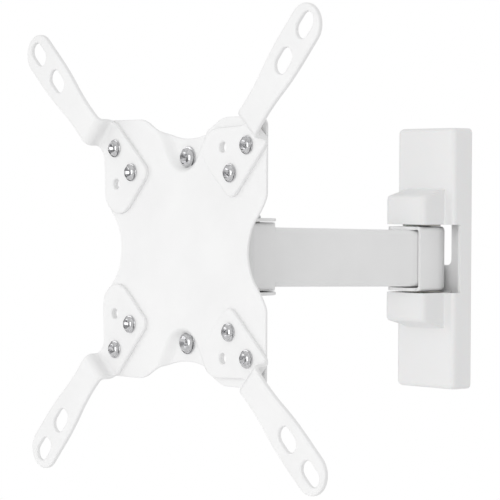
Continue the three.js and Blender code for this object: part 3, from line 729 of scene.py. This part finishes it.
def knuckle():
    """A drawn shell that wraps the tube's end: round at the back, with a tongue above and below."""
    leg, tongue = -KNUCKLE_LEG, -KNUCKLE_TONGUE
    inside = KNUCKLE_HALF - KNUCKLE_SKIN
    inner_r = KNUCKLE_R - KNUCKLE_SKIN
    outer_plan = [*arc(0, 0, KNUCKLE_R, 0, 180, 40), (-KNUCKLE_R, -30), (KNUCKLE_R, -30)]
    shell = sheet(outer_plan, [circle(PIVOT_HOLE_R)], 2 * KNUCKLE_HALF, KNUCKLE_ROUND, -KNUCKLE_HALF)
    inner_plan = [*arc(0, 0, inner_r, 0, 180, 40), (-inner_r, -32), (inner_r, -32)]
    shell = combine(shell, sheet(inner_plan, [], 2 * inside, 0.5, -inside), "DIFFERENCE")
    beyond = rounded([(leg, -inside, 1.0), (leg, inside, 1.0), (-40, inside, 0), (-40, -inside, 0)])
    shell = combine(shell, side_prism(beyond, -20, 20), "DIFFERENCE")
    trim = rounded([
        (-20, leg, 0), (-inner_r, leg, 1.5), (-inner_r, tongue, 6), (inner_r, tongue, 6),
        (inner_r, leg, 1.5), (20, leg, 0), (20, -40, 0), (-20, -40, 0),
    ])
    shell = combine(shell, prism(trim, -20, 20), "DIFFERENCE")
    return softened(shell, 0.75, segments=3)


def arm_tube():
    """Rectangular tube from pivot to pivot, cut away round each bush."""
    half_w, half_h = TUBE_HALF_W, TUBE_HALF_H
    outside = rounded_rect(-half_w, -half_h, half_w, half_h, TUBE_ROUND, 14)
    half_w, half_h = half_w - TUBE_WALL, half_h - TUBE_WALL
    inside = rounded_rect(-half_w, -half_h, half_w, half_h, TUBE_ROUND - TUBE_WALL, 8)
    length = math.hypot(ARM_LENGTH, ARM_RISE)
    tube = sheet(outside, [inside], length, 0.25)
    for end in (0, length):
        notch = moved(prism(circle(BUSH_R + 0.6), -20, 20), at(0, 0, end) @ turn(90, "X"))
        tube = combine(tube, notch, "DIFFERENCE")
    slope = math.degrees(math.atan2(ARM_RISE, ARM_LENGTH))
    place = at(*WALL_HINGE) @ turn(-slope, "X") @ FACING
    settle(tube, "arm_tube_section", place, "arm", "painted_steel", "arm_tube")


def hinge_set(end, datum, body, bolt_body, sheet_at):
    """What both hinges share: the knuckle, its bush and its nylon washers."""
    place = at(*datum)
    facing = turn(0 if end == "wall" else 180)
    settle(knuckle(), f"{end}_knuckle_shell", place @ facing, body, "painted_steel", f"{end}_knuckle")
    bush = washer(BUSH_R, PIVOT_HOLE_R, -BUSH_HALF, BUSH_HALF, 0.4)
    settle(bush, f"{end}_bush_sleeve", place, body, "plated_hardware", f"{end}_hinge_bush")
    play = (sheet_at - KNUCKLE_HALF) / 4
    for side, where in ((1, "upper"), (-1, "lower")):
        low, high = sorted((side * (KNUCKLE_HALF + play), side * (sheet_at - play)))
        disc = washer(NYLON_R, PIVOT_HOLE_R, low, high, 0.08)
        node = f"{end}_hinge_washer_{where}"
        settle(disc, f"{node}_disc", place, bolt_body, "nylon", node)


def pivot_bolt(end, datum, head, seat):
    """A pivot bolt: its head, already drawn at seat, on a threaded shank."""
    bolt = joined(head, thread(PIVOT_R, PIVOT_PITCH, -PIVOT_TIP, seat + PLAY))
    settle(bolt, f"{end}_pivot_bolt", at(*datum), end, "plated_hardware", f"{end}_hinge_bolt")


def pivot_washer(end, datum, where, side, outside):
    """A steel washer on the outside of a hinge's upper (side 1) or lower (side -1) sheet."""
    low, high = sorted((side * (outside + PLAY), side * (outside + PLAY + PIVOT_WASHER)))
    disc = washer(PIVOT_WASHER_R, PIVOT_HOLE_R, low, high)
    settle(disc, f"{end}_pivot_{where}_washer", at(*datum), end, "plated_hardware",
           f"{end}_hinge_{where}_washer")


def pivot_nut(end, datum, outside):
    nut = nut_below(PIVOT_NUT, -outside - PIVOT_WASHER - 2 * PLAY)
    settle(nut, f"{end}_pivot_nut", at(*datum), end, "plated_hardware", f"{end}_hinge_nut")


def wall_bolt_set():
    across, height, _ = PIVOT_NUT
    outside = TAB_INSIDE + WALL_SHEET
    seat = outside + PIVOT_WASHER + 2 * PLAY
    head = chamfered_hex(across, seat, seat + height, flat_under=True)
    pivot_bolt("wall", WALL_HINGE, head, seat)
    pivot_washer("wall", WALL_HINGE, "head", 1, outside)
    pivot_washer("wall", WALL_HINGE, "nut", -1, outside)
    pivot_nut("wall", WALL_HINGE, outside)


def head_bolt_set():
    outside = YOKE_INSIDE + YOKE_SHEET
    seat = outside + PLAY
    dome = [(0, 0), (10.3, 0), (10.4, 0.12), (10.4, 0.8), (10.2, 1.3), (9.7, 1.7), (8.8, 2.0), (7.4, 2.15),
            (4.0, 2.2), (0, 2.2)]
    head = polar([(radius, seat + z) for radius, z in dome], 72)
    pivot_bolt("head", HEAD_HINGE, head, seat)
    pivot_washer("head", HEAD_HINGE, "nut", -1, outside)
    pivot_nut("head", HEAD_HINGE, outside)


# ---- the head ------------------------------------------------------------------------------------

YOKE_SHEET = 1.5
YOKE_INSIDE = 17.4
YOKE_HALF_W = 15.0
YOKE_WEB = 13.1
YOKE_END = 18.7
YOKE_BEND = 2.0
TILT_EAR_R = 6.0
TILT_HOLE_R = 3.4


def yoke():
    """One blank: the web, a round-ended flange folded back above and below, an ear folded forward at
    each side."""
    middle = YOKE_SHEET / 2
    arc_length = YOKE_BEND * math.pi / 2
    inner = middle - YOKE_BEND
    ear_y = TILT_AXIS.z - HEAD_HINGE.z
    flange_start = YOKE_INSIDE + inner
    pivot = flange_start + arc_length + YOKE_WEB + inner
    tip = pivot + YOKE_END
    ear_start = YOKE_HALF_W - middle - YOKE_BEND
    tilt_out = HEAD_HINGE.y - TILT_AXIS.y - YOKE_WEB
    ear_hole = ear_start + arc_length + tilt_out - middle - YOKE_BEND
    ear_tip = ear_hole + TILT_EAR_R
    low, high = ear_y - 8, ear_y + 8
    slit, neck = ear_start - 0.4, ear_start + arc_length + 1
    right = [
        (YOKE_HALF_W, low - 1.2, 0.4), (slit, low - 1.2, 0.5), (slit, low, 0.4), (neck, low, 2),
        (ear_tip, ear_y - 6, 5.9), (ear_tip, ear_y + 6, 5.9),
        (neck, high, 2), (slit, high, 0.4), (slit, high + 1.2, 0.5), (YOKE_HALF_W, high + 1.2, 0.4),
    ]
    outline = rounded([
        *right,
        (YOKE_HALF_W, tip, 14.5), (-YOKE_HALF_W, tip, 14.5),
        *[(-x, y, r) for x, y, r in reversed(right)],
        (-YOKE_HALF_W, -tip, 14.5), (YOKE_HALF_W, -tip, 14.5),
    ])
    holes = [circle(PIVOT_HOLE_R, 0, side * pivot) for side in (1, -1)]
    holes += [circle(TILT_HOLE_R, side * ear_hole, ear_y, 32) for side in (1, -1)]
    blank = sheet(outline, holes, YOKE_SHEET, SHEET_EDGE)

    def in_ear(co):
        return low - 0.6 < co.y < high + 0.6

    for side in (1, -1):
        fold(blank, 1, side * flange_start, side, YOKE_BEND, middle, up=-1)
        fold(blank, 0, side * ear_start, side, YOKE_BEND, middle, only=in_ear)
    place = at(0, HEAD_HINGE.y - YOKE_WEB, HEAD_HINGE.z) @ FACING
    settle(blank, "swivel_yoke_pressing", place, "head", "painted_steel", "swivel_yoke")


BRACKET_SHEET = 2.0
BRACKET_FRONT = -5.5
BRACKET_HALF_W = 18.2
BRACKET_HALF_H = 53.0
BRACKET_BEND = 2.0
BRACKET_EAR_R = 8.0
BRACKET_EAR_ROOT = 16.0
CENTRE_SCREW_UP = 44.7


def tilt_bracket():
    """A tall web behind the screen plate, with an ear folded back at each side onto the tilt bolt."""
    middle = BRACKET_FRONT - BRACKET_SHEET / 2
    arc_length = BRACKET_BEND * math.pi / 2
    start = BRACKET_HALF_W - BRACKET_SHEET / 2 - BRACKET_BEND
    tilt_in = TILT_AXIS.y - PLATE.y
    hole_x = start + arc_length + tilt_in + middle - BRACKET_BEND
    tip = hole_x + BRACKET_EAR_R
    root = BRACKET_EAR_ROOT
    slit, neck = start - 0.4, start + arc_length + 1
    right = [
        (BRACKET_HALF_W, -root - 1.2, 0.5), (slit, -root - 1.2, 0.5), (slit, -root, 0.4),
        (neck, -root, 3), (tip, -8, 7.6), (tip, 8, 7.6), (neck, root, 3),
        (slit, root, 0.4), (slit, root + 1.2, 0.5), (BRACKET_HALF_W, root + 1.2, 0.5),
    ]
    outline = rounded([
        *right,
        (BRACKET_HALF_W, BRACKET_HALF_H, 5), (-BRACKET_HALF_W, BRACKET_HALF_H, 5),
        *[(-x, y, r) for x, y, r in reversed(right)],
        (-BRACKET_HALF_W, -BRACKET_HALF_H, 5), (BRACKET_HALF_W, -BRACKET_HALF_H, 5),
    ])
    holes = [circle(2.9, 0, side * CENTRE_SCREW_UP, 32) for side in (1, -1)]
    holes += [circle(TILT_HOLE_R, side * hole_x, 0, 32) for side in (1, -1)]
    holes.append(rounded_rect(-9, -13, 9, 13, 4))
    blank = sheet(outline, holes, BRACKET_SHEET, SHEET_EDGE, BRACKET_FRONT - BRACKET_SHEET)

    def in_ear(co):
        return abs(co.y) < root + 0.6

    for side in (1, -1):
        fold(blank, 0, side * start, side, BRACKET_BEND, middle, up=-1, only=in_ear)
    place = at(*PLATE) @ FACING
    settle(blank, "tilt_bracket_pressing", place, "screen", "painted_steel", "tilt_bracket")


TILT_R = 3.0
TILT_PITCH = 1.0
TILT_HEAD_H = 4.0
TILT_TIP = 7.6
TILT_BORE_R = 3.3
TILT_WASHER_R = 6.0
TILT_WASHER = 1.2
SPACER_R = 5.6
SPACER = 0.7
SPACER_GAP = 0.25


def tilt_bolt_set():
    """The bolt across the head with its nut, washers and nylon spacers, drawn up Z and laid over."""
    place = at(*TILT_AXIS) @ turn(90, "Y")
    outside = BRACKET_HALF_W
    seat = outside + TILT_WASHER + 2 * PLAY
    head = chamfered_hex(TILT_NUT[0], seat, seat + TILT_HEAD_H, flat_under=True)
    bolt = joined(head, thread(TILT_R, TILT_PITCH, -outside - TILT_TIP, seat + PLAY, 24))
    settle(bolt, "tilt_pivot_bolt", place, "head", "plated_hardware", "tilt_bolt")
    settle(nut_below(TILT_NUT, -seat), "tilt_pivot_nut", place, "head", "plated_hardware", "tilt_nut")
    for side, where in ((1, "right"), (-1, "left")):
        near = outside + PLAY
        low, high = sorted((side * near, side * (near + TILT_WASHER)))
        steel = washer(TILT_WASHER_R, TILT_BORE_R, low, high)
        settle(steel, f"tilt_steel_washer_{where}", place, "head", "plated_hardware",
               f"tilt_washer_{where}")
        near = YOKE_HALF_W + SPACER_GAP
        low, high = sorted((side * near, side * (near + SPACER)))
        nylon = washer(SPACER_R, TILT_BORE_R, low, high, 0.1)
        settle(nylon, f"tilt_nylon_washer_{where}", place, "head", "nylon", f"tilt_spacer_{where}")


# ---- the screen plate ----------------------------------------------------------------------------

PLATE_SHEET = 1.5
PLATE_EDGE = 0.5
PLATE_CORNER = 5.0
PLATE_HALF_W = 61.0
PLATE_HALF_H = 63.8
SIDE_WAIST = 47.7
SIDE_WAIST_R = 24.0
TOP_WAIST = 54.0
TOP_WAIST_R = 47.0
POCKET_FLOOR = 37.2
POCKET_R = 13.0
POCKET_LEAN = 30.0
POCKET_DEPTH = 3.7
POCKET_FLANK = 4.4
POCKET_GRID = 0.75
CENTRE_SLOT = (6, 7.8)
VESA_NEAR = 37.5
VESA_FAR = 50.0
SPARE_REACH = 32.3
CLOCKING = 2.6
CORNERS = {
    "upper_right": (1, 1),
    "upper_left": (-1, 1),
    "lower_left": (-1, -1),
    "lower_right": (1, -1),
}
MIDWAY = (VESA_NEAR + VESA_FAR) / 2


def clocked(corner, x, y):
    """A point of a corner, turned with its arm about the midpoint of the two screws."""
    sx, sy = CORNERS[corner]
    offset = turn(CLOCKING) @ Vector((x - sx * MIDWAY, y - sy * MIDWAY, 0))
    return sx * MIDWAY + offset.x, sy * MIDWAY + offset.y


def plate_quarter():
    """The plate's outline from the right waist's middle to the top waist's middle."""
    side_centre = SIDE_WAIST + SIDE_WAIST_R
    side = arc(side_centre, 0, SIDE_WAIST_R, 180, 139, 10)
    x, y = side[-1]
    flare = bezier((x, y), (x + 2.5, y + 2.7), (PLATE_HALF_W, 24.5), (PLATE_HALF_W, 27.8))
    top_centre = TOP_WAIST + TOP_WAIST_R
    top = arc(0, top_centre, TOP_WAIST_R, -58, -90, 12)
    x, y = top[0]
    rise = bezier((33.5, PLATE_HALF_H), (30.5, PLATE_HALF_H), (x + 1.9, y + 1.2), (x, y))
    corner = arc(PLATE_HALF_W - PLATE_CORNER, PLATE_HALF_H - PLATE_CORNER, PLATE_CORNER, 0, 90, 8)
    return [*side, *flare[1:], *corner, *rise, *top[1:]]


def pocket_depth(x, y):
    """How far the pressed pocket sinks below the plate's face at a point."""
    lean = math.radians(POCKET_LEAN)
    across, up = abs(x), abs(y) - POCKET_FLOOR - POCKET_R
    if across * math.sin(lean) + up * math.cos(lean) > 0:
        inside = POCKET_R - (across * math.cos(lean) - up * math.sin(lean))
    else:
        inside = POCKET_R - math.hypot(across, up)
    share = max(0, min(1, inside / POCKET_FLANK))
    smooth = share * share * (3 - 2 * share)
    return POCKET_DEPTH * smooth


def screen_plate():
    """The waisted plate, pressed back into a pocket round each centre screw."""
    quarter = plate_quarter()
    upper = quarter + [(-x, y) for x, y in reversed(quarter)][1:]
    outline = upper + [(x, -y) for x, y in reversed(upper)][1:-1]
    holes = []
    for corner, (sx, sy) in CORNERS.items():
        spare = (sx * SPARE_REACH, sy * VESA_FAR) if sx > 0 else (sx * VESA_FAR, sy * SPARE_REACH)
        holes.append(circle(2.5, *clocked(corner, *spare), 32))
        for reach in (VESA_NEAR, VESA_FAR):
            holes.append(circle(2.4, *clocked(corner, sx * reach, sy * reach), 24))
    for side in (1, -1):
        holes.append(slot(*CENTRE_SLOT, 0, side * (CENTRE_SCREW_UP - 0.8), 90))
    plate = sheet(outline, holes, PLATE_SHEET, PLATE_EDGE, -PLATE_SHEET)
    score(plate, 0, [i * POCKET_GRID for i in range(-38, 39)])
    for side in (1, -1):
        score(plate, 1, [side * (36 + i * POCKET_GRID) for i in range(38)])
    for vertex in plate.data.vertices:
        vertex.co.z -= pocket_depth(vertex.co.x, vertex.co.y)
    place = at(*PLATE) @ FACING
    settle(plate, "screen_plate_pressing", place, "screen", "painted_steel", "vesa_plate", crease=40)


# ---- the extension arms --------------------------------------------------------------------------

ARM_SHEET = 2.0
ARM_LIFT = 0.15
ARM_STEP = 10.6
ARM_BEND = 3.0
ARM_EDGE = 0.8
ARM_SPARE = 0.6  # cut off the back again, so that only the front edge is rounded
ARM_BACK = 0.03
RISER = 82.4
FOOT_CUT = 59.3
FOOT_INNER = 43.5
FOOT_SIDE = 9.2
RISER_HALF_W = 8.2
NECK_HALF_W = 7.5
TIP_R = 10.0
OUTER_SLOT = 142.6
INNER_SLOT = 121.6
TIP_SLOT = (8.5, 13.5)


def extension_arm():
    """One arm's blank along X, folded up and out again into its step. Y is to its left."""
    middle = ARM_LIFT + ARM_SHEET / 2
    first = RISER - ARM_BEND
    arc_length = ARM_BEND * math.pi / 2
    straight = ARM_STEP - ARM_SHEET / 2 - middle - 2 * ARM_BEND
    second = first + arc_length + straight
    extra = second + arc_length - (RISER + ARM_BEND)
    cut = FOOT_CUT * math.sqrt(2)

    def flank(side):
        start, waist, shoulder = second + arc_length, NECK_HALF_W * side, 108 + extra
        neck = bezier((start, 8.0 * side), (start + 5, waist), (start + 14, waist), (shoulder, 8.6 * side))
        swell = bezier((shoulder, 8.6 * side), (114 + extra, 9.4 * side), (120 + extra, TIP_R * side),
                       (130 + extra, TIP_R * side))
        return neck + swell[1:]

    tip = arc(OUTER_SLOT + extra, 0, TIP_R, -90, 90, 24)
    foot_near = rounded([
        (FOOT_INNER, 0, 0), (FOOT_INNER, -FOOT_SIDE, 5), (first - 0.2, -FOOT_SIDE, 1.4),
        (first + 1.4, -RISER_HALF_W, 1.4), (second, -RISER_HALF_W, 0),
    ], closed=False)
    foot_far = rounded([
        (second, RISER_HALF_W, 0), (cut - RISER_HALF_W, RISER_HALF_W, 7),
        (FOOT_INNER, cut - FOOT_INNER, 10.8), (FOOT_INNER, 0, 0),
    ], closed=False)
    outline = [*foot_near, *flank(-1), *tip, *reversed(flank(1)), *foot_far]
    spare = ((SPARE_REACH + VESA_FAR) / math.sqrt(2), (VESA_FAR - SPARE_REACH) / math.sqrt(2))
    holes = [slot(*TIP_SLOT, reach + extra, 0) for reach in (OUTER_SLOT, INNER_SLOT)]
    holes += [circle(2.3, reach * math.sqrt(2), 0, 24) for reach in (VESA_NEAR, VESA_FAR)]
    holes.append(circle(2.5, *spare, 32))
    blank = sheet(outline, holes, ARM_SHEET + ARM_SPARE, ARM_EDGE, ARM_LIFT - ARM_SPARE)
    flattened_back(blank, ARM_BACK)
    fold(blank, 0, second, 1, ARM_BEND, middle, up=-1)
    fold(blank, 0, first, 1, ARM_BEND, middle, up=1)
    return blank


def extension_arms():
    """The four arms; the lower two are the mirror image of the upper two."""
    for corner, (sx, sy) in CORNERS.items():
        arm = extension_arm()
        if sy < 0:
            moved(arm, Matrix.Diagonal((1, -1, 1, 1)))
        heading = math.degrees(math.atan2(sy, sx))
        middle = at(sx * MIDWAY, sy * MIDWAY, 0)
        place = at(*PLATE) @ FACING @ middle @ turn(CLOCKING) @ middle.inverted() @ turn(heading)
        node = f"extension_arm_{corner}"
        settle(arm, f"{node}_pressing", place, "screen", "painted_steel", node)


def plate_fasteners():
    """The screws through the arms and the two through the pockets, with their nuts."""
    face = at(*PLATE) @ FACING
    seat = ARM_LIFT + ARM_SHEET + PLAY
    for corner, (sx, sy) in CORNERS.items():
        for reach, where in ((VESA_NEAR, "inner"), (VESA_FAR, "outer")):
            x, y = clocked(corner, sx * reach, sy * reach)
            place = face @ at(x, y, 0) @ turn(23 * sx + 52 * sy + reach * 57)
            node = f"{corner}_{where}"
            settle(pan_screw(*CORNER_SCREW), f"corner_pan_screw_{node}", place @ at(0, 0, seat), "screen",
                   "bright_screws", f"corner_screw_{node}")
            settle(nut_below(CORNER_NUT, -PLATE_SHEET - PLAY), f"corner_hex_nut_{node}", place, "screen",
                   "plated_hardware", f"corner_nut_{node}")
    seat = PLAY - POCKET_DEPTH
    for side, where in ((1, "upper"), (-1, "lower")):
        place = face @ at(0, side * CENTRE_SCREW_UP, 0) @ turn(28 * side)
        settle(pan_screw(*CENTRE_SCREW), f"centre_pan_screw_{where}", place @ at(0, 0, seat), "screen",
               "bright_screws", f"centre_screw_{where}")
        nut = nut_below(CENTRE_NUT, BRACKET_FRONT - BRACKET_SHEET - PLAY)
        settle(nut, f"centre_hex_nut_{where}", place, "screen", "plated_hardware", f"centre_nut_{where}")


# ---- stage, light and camera ---------------------------------------------------------------------

CAMERA_AT = Vector((900.4, -920.3, 42.6)) * MM
CAMERA_AZIMUTH = 48.94
CAMERA_ELEVATION = 1.35
CAMERA_ROLL = 0.26
CAMERA_LENS = 173.8
# Directions and shares of the studio's light; see world_light.
ROOM = 0.585
BACKDROP = 1.1
BACKDROP_FROM = 0.6
BACKDROP_FULL = 0.95
CEILING = 0.25
BRIGHT_SIDE = (0.6, 0, 0.8)
DARK_BELOW = -0.5
DARK_ABOVE = 0.1
DARK_CORNER = 0.12
# Each soft box: place, (width, height), power.
SOFT_BOXES = {
    "key": ((0.85, -1.7, 0.12), (1.2, 1.4), 10.5),
    "fill": ((-1.3, -1.2, 0.2), (1.0, 1.4), 5.2),
}
LIT_SPOT = (0, -0.1, 0)
FLOOR_R = 1.1
FLOOR_AT = (0, -0.1, -0.42)


def camera():
    azimuth, elevation = math.radians(CAMERA_AZIMUTH), math.radians(CAMERA_ELEVATION)
    back = Vector((math.sin(azimuth) * math.cos(elevation), -math.cos(azimuth) * math.cos(elevation),
                   math.sin(elevation)))
    level = Vector((math.cos(azimuth), math.sin(azimuth), 0))
    upright = back.cross(level)
    roll = math.radians(CAMERA_ROLL)
    right = level * math.cos(roll) + upright * math.sin(roll)
    up = upright * math.cos(roll) - level * math.sin(roll)
    data = bpy.data.cameras.new("camera")
    data.lens = CAMERA_LENS
    data.sensor_width = 36
    data.clip_end = 50
    thing = linked("camera", data)
    turned = Matrix((right, up, back)).transposed().to_4x4()
    thing.matrix_world = Matrix.Translation(CAMERA_AT) @ turned
    bpy.context.scene.camera = thing


def soft_box(name, place, size, power):
    data = bpy.data.lights.new(name, "AREA")
    data.shape = "RECTANGLE"
    data.size, data.size_y = size
    data.energy = power
    thing = linked(name, data)
    thing.location = place
    thing.rotation_euler = (Vector(LIT_SPOT) - Vector(place)).to_track_quat("-Z", "Y").to_euler()


def world_light():
    """A white studio: the camera sees pure white, the backdrop is brighter than the room, and what
    gloss mirrors from the low left is dimmer still."""
    world = bpy.data.worlds.new("studio")
    bpy.context.scene.world = world
    tree = Tree(world)
    lit, seen = (tree.add("ShaderNodeBackground", Color=(1, 1, 1, 1)) for _ in range(2))
    path = tree.add("ShaderNodeLightPath")
    direction = tree.add("ShaderNodeTexCoord")

    split = tree.add("ShaderNodeSeparateXYZ")
    tree.link(direction, "Generated", split, "Vector")
    total = tree.add("ShaderNodeMath", operation="ADD")
    tree.link(tree.ranged(split, "Y", BACKDROP_FROM, BACKDROP_FULL, ROOM, BACKDROP), "Result", total, 0)
    tree.link(tree.ranged(split, "Z", 0, 1, 0, CEILING), "Result", total, 1)

    slant = tree.add("ShaderNodeVectorMath", operation="DOT_PRODUCT")
    slant.inputs[1].default_value = BRIGHT_SIDE
    tree.link(direction, "Generated", slant, 0)
    dim = tree.ranged(slant, "Value", DARK_BELOW, DARK_ABOVE, DARK_CORNER, 1)
    mirrored = tree.ranged(path, "Is Glossy Ray", 0, 1, 1, 1)
    tree.link(dim, "Result", mirrored, "To Max")

    shaded = tree.add("ShaderNodeMath", operation="MULTIPLY")
    tree.link(total, "Value", shaded, 0)
    tree.link(mirrored, "Result", shaded, 1)
    tree.link(shaded, "Value", lit, "Strength")
    mix = tree.add("ShaderNodeMixShader")
    tree.link(path, "Is Camera Ray", mix, "Fac")
    tree.link(lit, "Background", mix, 1)
    tree.link(seen, "Background", mix, 2)
    output = tree.add("ShaderNodeOutputWorld")
    tree.link(mix, "Shader", output, "Surface")


def floor():
    """A plain pale floor, well below the mount."""
    bm = bmesh.new()
    bmesh.ops.create_circle(bm, cap_ends=True, segments=96, radius=FLOOR_R)
    ground = from_bmesh(bm, "floor")
    ground.location = FLOOR_AT
    pale = Surface("floor", Roughness=0.6)
    pale.tint(pale.noise(3.0), (0.88, 0.88, 0.88), (0.9, 0.9, 0.9))
    ground.data.materials.append(pale.material)


# ---- the whole mount -----------------------------------------------------------------------------

wall_plate()
wall_cover()
hinge_set("wall", WALL_HINGE, "arm", "wall", TAB_INSIDE)
hinge_set("head", HEAD_HINGE, "arm", "head", YOKE_INSIDE)
arm_tube()
wall_bolt_set()
head_bolt_set()
yoke()
tilt_bracket()
tilt_bolt_set()
screen_plate()
extension_arms()
plate_fasteners()

world_light()
floor()
for box_name, settings in SOFT_BOXES.items():
    soft_box(box_name, *settings)
camera()
bpy.context.scene.view_settings.view_transform = "Standard"
